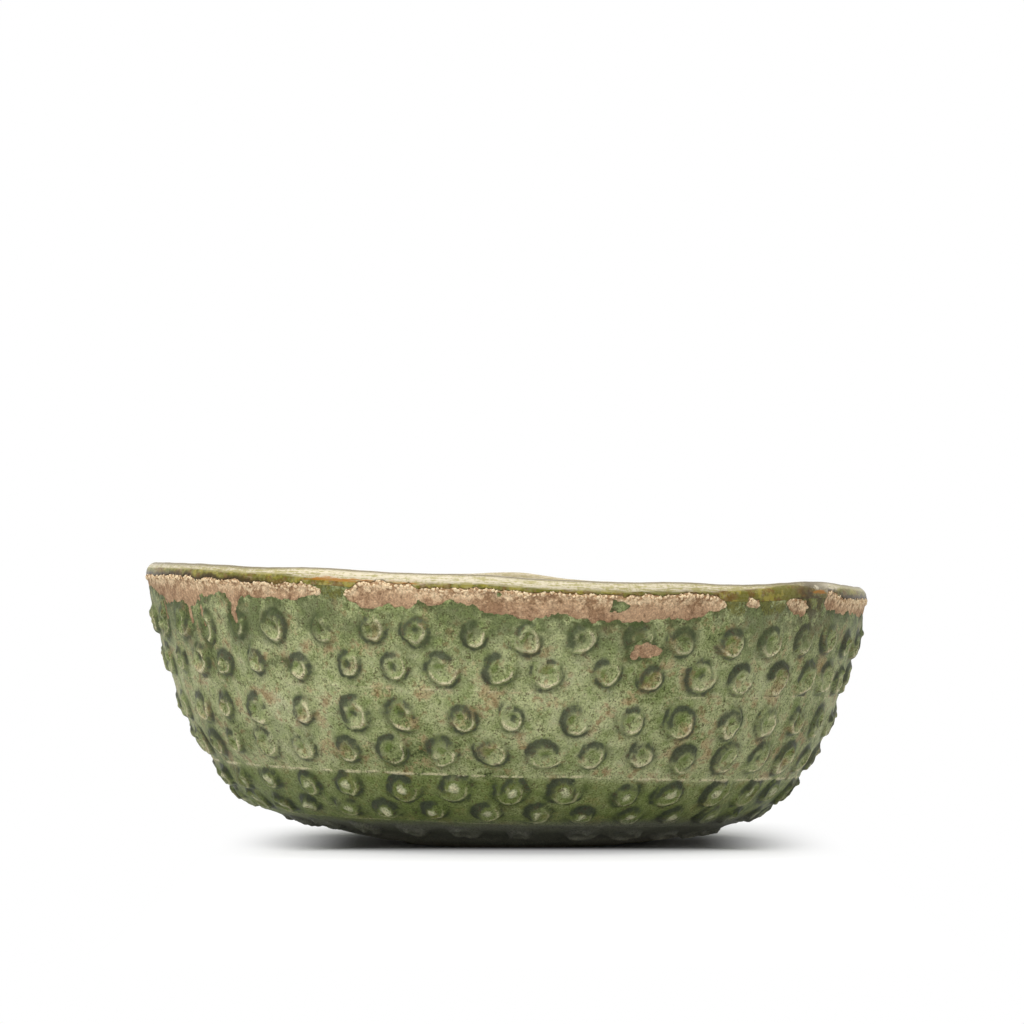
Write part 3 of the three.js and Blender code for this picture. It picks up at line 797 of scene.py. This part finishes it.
def crumbTree(material):  # crumbs of clay and slip left along the upper edge of the bare patches
    tree, b, sockets, given = newTree("clayCrumbs", crumbSettings)
    fringe = b.add("GeometryNodeInputNamedAttribute", {"data_type": "FLOAT"}, {"Name": "fringe"})
    spread = b.add("GeometryNodeDistributePointsOnFaces", {"distribute_method": "POISSON"},
                   {"Mesh": given["Geometry"], "Distance Min": given["Spacing"] * mm,
                    "Density Max": given["Density"] * 1e6,
                    "Density Factor": b.smooth(fringe, 0.3, 0.6), "Seed": given["Seed"]})
    normal = Wire(b, spread.socket.node.outputs["Normal"])
    spread = b.add("GeometryNodeSetPosition", None,
                   {"Geometry": spread, "Offset": b.scaled(normal, given["Sunk"] * -mm)})
    grainShape = b.add("GeometryNodeMeshIcoSphere", None, {"Radius": given["Radius"] * mm, "Subdivisions": 2})
    spin = b.add("FunctionNodeRandomValue", {"data_type": "FLOAT_VECTOR"},
                 {0: (0, 0, 0), 1: (6.28, 6.28, 6.28), 8: given["Seed"] + 1})  # any way round
    lengths = [b.add("FunctionNodeRandomValue", {"data_type": "FLOAT"},
                     {2: given["Smallest"], 3: given["Largest"], 8: given["Seed"] + 2 + axis}, 1)
               for axis in range(3)]
    crumbs = b.add("GeometryNodeInstanceOnPoints", None,
                   {"Points": spread, "Instance": grainShape, "Rotation": spin, "Scale": b.vector(*lengths)})
    crumbs = b.add("GeometryNodeRealizeInstances", None, {"Geometry": crumbs})
    wobble = b.noise(b.add("GeometryNodeInputPosition"), 1900.0, 2.0, output=1)
    offset = b.add("ShaderNodeVectorMath", {"operation": "SUBTRACT"}, [wobble, (0.5, 0.5, 0.5)])
    offset = b.scaled(offset, given["Roughness"] * 2 * mm)
    crumbs = b.add("GeometryNodeSetPosition", None, {"Geometry": crumbs, "Offset": offset})
    crumbs = b.add("GeometryNodeSetShadeSmooth", None, {0: crumbs, 2: True})
    finishTree(b, crumbs, material)
    return tree, sockets


def makeCrumbs(clay, material):
    piece = bpy.data.objects.new("clayCrumbs", clay.data.copy())
    bpy.context.scene.collection.objects.link(piece)
    tree, sockets = crumbTree(material)
    applyTree(piece, tree, sockets, crumbSettings)
    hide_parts("clay_body")
    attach(piece, "root")
    print("clayCrumbs has", len(piece.data.polygons), "faces")


lipShape = {"columns": 1400, "steps": (17, 13), "backSteps": 5, "hiddenDepth": 0.12, "backDepth": 0.14,
            "uneven": [(3.2, 0.10, 11), (1.0, 0.035, 12)]}
# tints along the lip, in degrees from the front: cream (cream glaze and painted highlight), olive, amber and
# burnt brown, 0 to 1
lipTints = [
    (-90, 0.8, 1.1, 0.0, 0.9), (-60, 0.8, 1.1, 0.0, 1.1), (-45, 0.6, 1.0, 0.0, 0.9),
    (-36, 0.7, 0.8, 0.0, 0.3), (-32, 0.9, 0.5, 0.6, 0.1), (-29, 1.0, 0.3, 1.0, 0.1),
    (-20, 1.0, 0.25, 0.8, 0.1), (-14, 1.0, 0.25, 0.85, 0.1), (-11, 0.9, 0.5, 0.2, 0.1),
    (-4, 0.9, 0.5, 0.0, 0.1), (6, 0.85, 0.5, 0.1, 0.2), (18, 0.8, 0.5, 0.1, 0.1),
    (26, 0.8, 0.45, 0.15, 0.1), (36, 0.7, 0.9, 0.0, 0.0), (42, 0.6, 1.2, 0.0, 0.1),
    (50, 0.3, 1.9, 0.0, 0.4), (54, 0.7, 1.3, 0.6, 0.9), (57, 1.2, 0.6, 1.0, 0.9), (62, 1.2, 0.1, 0.0, 0.2),
    (64.5, 0.7, 0.9, 0.0, 0.7), (67, 0.3, 1.4, 0.0, 1.0), (80, 0.2, 1.4, 0.0, 0.9),
    (110, 0.5, 0.6, 0.2, 0.3), (140, 0.8, 0.4, 0.6, 0.1), (165, 0.6, 0.8, 0.1, 0.3),
    (190, 0.8, 0.5, 0.4, 0.2), (215, 0.4, 0.8, 0.0, 0.5), (245, 0.7, 0.4, 0.5, 0.2),
    (270, 0.4, 0.9, 0.0, 0.8)]


def makeLipGlaze(material):
    shape = lipShape
    columns = shape["columns"]
    angle = turnRound(columns)
    thin, coat = bowl["clayDepth"], bowl["liningThickness"]
    front, edges, turns = [], [], []
    for turn in riseTurns(*shape["steps"]):
        points = lipPoint(angle, turn, thin + (coat - thin) * smoothStep(turn, 0, 0.8))
        bare = bareAmount(points, angle)[0]
        if turn > math.pi / 2:
            bare = bare - 9  # no bare clay on the inside
        gone = smoothStep(bare, -0.13, 0.13)
        uneven = unevenness(points, shape["uneven"])
        hidden = lipPoint(angle, turn, -shape["hiddenDepth"])
        swell = (points - hidden) * (uneven * math.sin(turn) ** 0.5 * (1 - gone))[:, None]
        front.append(points + swell + (hidden - points) * gone[:, None])
        edges.append(bare)
        turns.append(np.full(columns, turn / math.pi))
    front = np.array(front)
    back = np.array([lipPoint(angle, turn, -shape["backDepth"])
                     for turn in np.linspace(0, math.pi, shape["backSteps"])])

    def both(values):
        return np.concatenate([np.array(values).ravel(), np.zeros(len(back) * columns)])

    places, *tints = zip(*lipTints)
    tinted = {name: both(np.tile(np.interp(fromFront(angle), places, tint, period=360), len(turns)))
              for name, tint in zip(("creamAndHighlight", "olive", "amber", "burnt"), tints)}
    column = np.arange(columns)
    around = np.tile(np.minimum(column, columns - column) * 2 / columns, len(turns))
    attributes = {"edge": both(edges), "turnShare": both(turns), "aroundShare": both(around), **tinted}
    piece = meshFromGrid("lipGlaze", front, back, attributes)
    piece.data.materials.append(material)
    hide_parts("lip_glaze")
    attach(piece, "root")
    print("lipGlaze has", len(piece.data.polygons), "faces")


liningShape = {"columns": 600, "floorSteps": 30, "lowSteps": 40, "middleSteps": 24, "upperSteps": 60,
               "backLevels": (3.3, 2.6, 2.0, 1.5, 1.0, 0.6, 0.2, 0.0), "sunk": 0.05,
               "uneven": [(9.0, 0.16, 21), (3.0, 0.05, 22)], "unevenShare": 0.7}


def makeLining(material):
    shape = liningShape
    angle = turnRound(shape["columns"])
    glaze = bowl["liningThickness"]
    top = 4 - bowl["seam"] / stretchLength(3)

    def ring(level, thickness):
        return inWall(angle, level, innerDepth(level) + bowl["glazeThickness"] + thickness)

    floorRing = ring(0.0, glaze)
    centre = floorRing.mean(axis=0)
    rows = [centre + (floorRing - centre) * share for share in np.linspace(0.02, 0.96, shape["floorSteps"])]
    rows += [ring(level, glaze) for level in [*np.linspace(0, 1, shape["lowSteps"])[:-1],
                                              *np.linspace(1, 2, shape["middleSteps"])[:-1],
                                              *np.linspace(2, top, shape["upperSteps"])]]
    front = np.array(rows)[::-1]
    front[..., 2] += unevenness(front, shape["uneven"]) * shape["unevenShare"]
    back = [ring(level, -shape["sunk"]) for level in (top, *shape["backLevels"])]
    backCentre = back[-1].mean(axis=0)
    back.append(backCentre + (back[-1] - backCentre) * 0.02)
    piece = capGrid("innerGlaze", np.concatenate([np.array(back)[::-1], front]))
    piece.data.materials.append(material)
    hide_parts("inner_glaze")
    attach(piece, "root")
    print("innerGlaze has", len(piece.data.polygons), "faces")


# materials

def newMaterial(name):
    material = bpy.data.materials.new(name)
    material.use_nodes = True
    material.node_tree.nodes.clear()
    return material, Builder(material.node_tree)


def finishMaterial(b, inputs):
    shader = b.add("ShaderNodeBsdfPrincipled", None, inputs)
    b.add("ShaderNodeOutputMaterial", None, [shader])


def colour(red, green, blue):
    return (red, green, blue, 1.0)


# for each noise its scale, detail and roughness
greenNoises = [(42.0, 3.0, 0.55), (110.0, 4.0, 0.6), (250.0, 3.0, 0.6), (430.0, 4.0, 0.65), (820.0, 3.0, 0.65),
               (1500.0, 3.0, 0.7), (3300.0, 2.0, 0.6)]
greenLook = {
    "sage": colour(0.418, 0.443, 0.225), "pale": colour(0.6, 0.6, 0.38), "leaf": colour(0.215, 0.252, 0.095),
    "deep": colour(0.065, 0.086, 0.026), "low": colour(0.118, 0.162, 0.026), "poolAndShade": colour(0.042, 0.05, 0.031),
    "greenAndShade": colour(0.12, 0.18, 0.03), "buff": colour(0.7, 0.63, 0.4), "blush": colour(0.4, 0.27, 0.14),
    "rust": colour(0.2, 0.11, 0.045), "speck": colour(0.09, 0.055, 0.03), "olive": colour(0.14, 0.135, 0.025),
    "foot": colour(0.2, 0.2, 0.165), "paintedLightSole": colour(0.7, 0.68, 0.56),
}

stain = {"place": (0.0512, -0.035, 0.0427), "reach": 0.0052, "shade": colour(0.06, 0.04, 0.022)}


def stained(b, place, shade, mottle, clouds):  # a burnt smear at the right, over the lip's glaze and the green
    away = b.add("ShaderNodeVectorMath", {"operation": "DISTANCE"}, [place, stain["place"]], 1)
    ragged = b.smooth(mottle + (clouds - 0.5) * 0.8, 0.36, 0.54)
    return b.mix(b.bell(away, stain["reach"]) * ragged * 0.9, shade, stain["shade"])


def grained(b, shade, level):  # the shade's lightness follows the finest noises, but never falls below 0.3
    return b.mix(1.0, shade, b.grey(level.math("MAXIMUM", 0.3)), "MULTIPLY")


def coated(b, shade, look, coats):  # lays each coat's colour over those before it, by its own amount
    for amount, name in coats:
        shade = b.mix(amount, shade, look[name])
    return shade


def greenMaterial():
    material, b = newMaterial("greenGlaze")
    place = b.add("ShaderNodeTexCoord", None, None, 3)
    crest, knob, shaded, line, darker, pooledAndShaded, paintedGlint, halo, bare, fromUpper = (
        b.read(name) for name in ("crest", "knob", "shaded", "line", "darker", "pooledAndShaded", "paintedGlint", "halo",
                                  "bareAmount", "fromUpperEdge"))
    look = greenLook
    broad, clouds, patches, mottle, flecks, grain, dust = b.noises(place, greenNoises)
    cloudy, patchy, mottled, grainy, dusty = (noise - 0.5 for noise in (clouds, patches, mottle, grain, dust))
    height = b.axis(place, 2)
    tone = broad * 0.22 + clouds * 0.26 + mottle * 0.26 + grain * 0.16 + dust * 0.1
    shade = coated(b, look["deep"], look, [
        # the ground: sage with paler and greener clouds, blushes of clay and rust flecks, painted shade in the
        # curls' hollows, and darker on the lower band and the underside
        (b.smooth(tone, 0.38, 0.46), "leaf"),
        (b.smooth(tone, 0.44, 0.54), "sage"),
        (b.smooth(tone, 0.52, 0.62) * 0.75, "pale"),
        (b.smooth(patches + mottled * 0.4 + grainy * 0.4, 0.54, 0.68) * 0.6, "blush"),
        (b.smooth(clouds - patches + grainy * 0.4, 0.02, 0.2) * 0.5, "greenAndShade"),
        (b.smooth(flecks + patchy * 0.5, 0.58, 0.66) * 0.5, "rust"),
        (b.smooth(shaded + patchy * 1.2 + grainy * 0.5, 0.2, 0.75) * 0.62, "greenAndShade"),
        (darker * (0.62 + mottled * 1.4), "low"),
        # darker round the curls, with glaze pooled in the grooves and painted shade on the slopes turned from
        # the light; lighter on their ridges and bosses, a painted highlight, and on the register lines
        (halo * b.smooth(mottle + grainy * 0.6, 0.34, 0.56) * (0.5 + darker * 0.45), "deep"),
        # glaze pooled in the grooves, and painted shade on the slopes turned from the light
        (b.smooth(pooledAndShaded + grainy * 1.4 + mottled + dusty * 1.5, 0.12, 0.85) * 0.88, "poolAndShade"),
        (b.smooth(crest + grainy * 0.9 + mottled * 0.8 - pooledAndShaded * 0.7, 0.5, 1.0) * (0.42 - darker * 0.2),
         "buff"),
        (b.smooth(paintedGlint + grainy * 0.9, 0.45, 0.95) * (0.55 - darker * 0.3), "buff"),
        (b.smooth(knob + grainy * 0.6, 0.15, 0.5) * 0.7, "pale"),
        (b.smooth(knob + mottled * 1.2, 0.45, 0.85) * 0.5, "buff"),
        (b.smooth(line + mottled * 0.8, 0.3, 0.8) * 0.65, "buff"),
        # dark where it thickens against the bare clay and towards the shoulder, olive over the band
        (b.bell(bare + 0.35, 0.8) * b.smooth(patches + mottled * 0.7, 0.4, 0.56) * 0.8, "deep"),
        (b.smooth(height + cloudy * 0.014, 0.0325, 0.0395) * b.smooth(mottle + cloudy * 1.2, 0.4, 0.58) * 0.6,
         "deep"),
        (b.smooth(-fromUpper, -0.3, 0.3) * b.smooth(height, 0.0385, 0.0405) *
         b.smooth(mottle + grainy * 0.8, 0.36, 0.56) * 0.75, "olive"),
    ])
    shade = stained(b, place, shade, mottle, clouds)
    shade = b.mix(b.smooth(flecks + dusty * 0.5, 0.4, 0.32) * 0.55, shade, look["speck"])
    # greyer low on the underside, and pale towards the contact: painted light against the shade under the bowl
    feet = 1 - b.smooth(height + cloudy * 0.002, 0.0042, 0.006)
    shade = b.mix(feet * 0.85, shade, b.mix(b.smooth(height, 0.0008, 0.0032), look["paintedLightSole"], look["foot"]))
    shade = grained(b, shade, 1 + dusty * 1.9 + grainy * 0.9)
    bump = b.bump(0.6, mottle + grain * 0.6 + dust * 0.3)
    finishMaterial(b, {"Base Color": shade, "Roughness": 0.4 + grain * 0.3, "Normal": bump,
                       "Specular IOR Level": 0.16})
    return material


clayNoises = [(170.0, 4.0, 0.6), (620.0, 3.0, 0.6), (1700.0, 4.0, 0.75), (3300.0, 2.0, 0.6), (1000.0, 2.0, 0.6)]
clayLook = {
    "tan": colour(0.58, 0.39, 0.23), "brown": colour(0.3, 0.18, 0.095), "cream": colour(0.82, 0.65, 0.42),
    "rust": colour(0.36, 0.2, 0.09), "dusk": colour(0.33, 0.19, 0.115), "pit": colour(0.12, 0.07, 0.035),
    "foot": colour(0.75, 0.73, 0.6),
}


def clayMaterial():
    material, b = newMaterial("bareClay")
    place = b.add("ShaderNodeTexCoord", None, None, 3)
    fringe, crumbs, fromUpper = (b.read(name) for name in ("fringe", "crumbs", "fromUpperEdge"))
    look = clayLook
    clouds, lumps, grain, dust, holes = b.noises(place, clayNoises)
    cloudy, grainy, dusty = (noise - 0.5 for noise in (clouds, grain, dust))
    shade = coated(b, look["brown"], look, [
        (b.smooth(clouds * 0.45 + lumps * 0.35 + grain * 0.2, 0.41, 0.55), "tan"),
        (b.smooth(lumps + grainy * 0.6, 0.56, 0.72) * 0.3, "cream"),
        (b.bell(fromUpper - 1.0, 0.7) * b.smooth(lumps + grainy * 0.8, 0.4, 0.58) * 0.6, "cream"),
        (b.smooth(fromUpper + cloudy * 2.5, 1.2, 3.4) * 0.4, "dusk"),
        (b.smooth(fringe * (1.2 - crumbs), 0.2, 0.7) * 0.7, "rust"),
        (b.smooth(holes + dusty * 0.3, 0.6, 0.7) * 0.5, "pit"),
    ])
    shade = grained(b, shade, 1 + dusty * 1.5 + grainy * 1.1)
    # pale grey clay near the table, also painted light against the shade at the contact
    shade = b.mix((1 - b.smooth(b.axis(place, 2), 0.0025, 0.004)) * 0.95, shade, look["foot"])
    finishMaterial(b, {"Base Color": shade, "Roughness": 0.9, "Normal": b.bump(0.6, grain * 0.6 + lumps),
                       "Specular IOR Level": 0.25})
    return material


def crumbMaterial():
    material, b = newMaterial("crumbedClay")
    place = b.add("ShaderNodeTexCoord", None, None, 3)
    lumps, grain = b.noises(place, [(700.0, 3.0, 0.6), (2400.0, 3.0, 0.7)])
    shade = coated(b, clayLook["tan"], clayLook, [
        (b.smooth(lumps * 0.5 + grain * 0.5, 0.36, 0.52), "cream"),
        (b.smooth(lumps - (grain - 0.5) * 0.7, 0.45, 0.34) * 0.7, "rust"),
    ])
    finishMaterial(b, {"Base Color": shade, "Roughness": 0.85, "Specular IOR Level": 0.25})
    return material


lipNoises = [(1500.0, 3.0, 0.65), (620.0, 4.0, 0.65), (260.0, 3.0, 0.6)]
streakNoises = [(1.6, 4.0, 0.6), (0.55, 3.0, 0.55), (3.3, 3.0, 0.6)]
lipLook = {
    "straw": colour(0.38, 0.335, 0.15), "cream": colour(0.64, 0.57, 0.42), "olive": colour(0.15, 0.14, 0.022),
    "brown": colour(0.05, 0.03, 0.01), "amber": colour(0.42, 0.17, 0.02), "line": colour(0.11, 0.085, 0.035),
    "inside": colour(0.36, 0.29, 0.2), "gold": colour(0.33, 0.28, 0.05), "rust": colour(0.16, 0.08, 0.02),
}


def lipMaterial():
    material, b = newMaterial("strawGlaze")
    place = b.add("ShaderNodeTexCoord", None, None, 3)
    turn, edge, around, creamAndHighlight, olive, amber, burnt = (
        b.read(name) for name in ("turnShare", "edge", "aroundShare", "creamAndHighlight", "olive", "amber", "burnt"))
    look = lipLook
    grain, mottle, patches = b.noises(place, lipNoises)
    # streaks run along the lip: noise stretched round it
    streaks, dabs, hairs = b.noises(b.vector(around * 46.0, turn * 15.0), streakNoises)
    grainy, mottled, patchy, streaky, dabbed = (
        noise - 0.5 for noise in (grain, mottle, patches, streaks, dabs))
    # cream streaks along the lip: cream glaze and painted highlight
    shade = coated(b, look["straw"], look, [
        (b.smooth(streaks + grainy * 0.5 + creamAndHighlight * 0.22 - 0.15, 0.42, 0.6), "cream"),
        (b.smooth(hairs, 0.57, 0.66) * 0.5, "olive"),
    ])
    # mottled olive low on the lip's outside
    glazed = coated(b, look["olive"], look, [
        (b.smooth(mottle + patchy * 0.6, 0.5, 0.62) * 0.8, "gold"),
        (b.smooth(mottle - patchy * 0.8, 0.5, 0.4) * 0.75, "rust"),
    ])
    reach = 0.05 + olive * 0.17 + streaky * 0.2 + dabbed * 0.16
    low = 1 - b.smooth(turn - reach, -0.03, 0.05)
    shade = b.mix(low * (grain + 0.42), shade, glazed)
    shade = stained(b, place, shade, mottle, patches)
    run = b.bell(turn - 0.12 - streaky * 0.3, 0.014 + dabs * 0.04)
    crown = b.bell(turn + streaky * 0.08 - 0.465, 0.08 + burnt * 0.045)
    shade = coated(b, shade, look, [
        (run * b.smooth(amber + dabbed * 2.2, 0.4, 0.8) * 0.9, "amber"),
        (b.smooth(edge + mottled * 1.2, -1.0, -0.3) *
         b.smooth(burnt + dabbed * 1.2 + grainy * 0.8, 0.3, 0.8) * 0.9, "brown"),
        # a thin dark brown line where the glaze breaks off: painted shadow under its edge
        (b.smooth(edge + grainy * 0.3, -0.25, 0.0) * 0.7, "brown"),
        (b.smooth(turn + streaky * 0.3, 0.5, 0.7) * 0.5, "inside"),
        (crown * 0.9, "line"),
    ])
    finishMaterial(b, {"Base Color": shade, "Roughness": 0.24 + grain * 0.2,
                       "Normal": b.bump(0.3, streaks + grain * 0.4), "Specular IOR Level": 0.13})
    return material


liningNoises = [(70.0, 4.0, 0.6), (600.0, 4.0, 0.65), (420.0, 2.0, 0.5)]
liningLook = {
    "straw": colour(0.55, 0.5, 0.26), "olive": colour(0.3, 0.29, 0.11), "deep": colour(0.14, 0.15, 0.045),
    "crack": colour(0.17, 0.13, 0.045), "speck": colour(0.22, 0.12, 0.05),
}


def liningMaterial():
    material, b = newMaterial("liningGlaze")
    place = b.add("ShaderNodeTexCoord", None, None, 3)
    look = liningLook
    clouds, grain, spots = b.noises(place, liningNoises)
    cracks = b.add("ShaderNodeTexVoronoi", {"feature": "DISTANCE_TO_EDGE"}, {"Vector": place, "Scale": 260.0})
    shade = coated(b, look["olive"], look, [
        (b.smooth(clouds * 0.6 + grain * 0.4, 0.36, 0.62), "straw"),
        ((1 - b.smooth(b.axis(place, 2), 0.006, 0.013)) * 0.6, "deep"),
        ((1 - b.smooth(cracks, 0.0, 0.035)) * b.smooth(clouds, 0.4, 0.6) * 0.4, "crack"),
        (b.smooth(spots, 0.66, 0.73) * 0.6, "speck"),
    ])
    finishMaterial(b, {"Base Color": shade, "Roughness": 0.18 + grain * 0.12,
                       "Normal": b.bump(0.2, clouds, 0.0003)})
    return material


# make it all

makeCamera()
makeFloor()
makeLight()
print("stage is set")
bpy.context.scene.view_settings.view_transform = "Standard"
green = greenMaterial()
tree, sockets = reliefTree(green)
for bandName in bands:
    makeGreenBand(bandName, tree, sockets)
clay = makeClay(clayMaterial())
makeCrumbs(clay, crumbMaterial())
makeLipGlaze(lipMaterial())
makeLining(liningMaterial())
print("pieces are made")
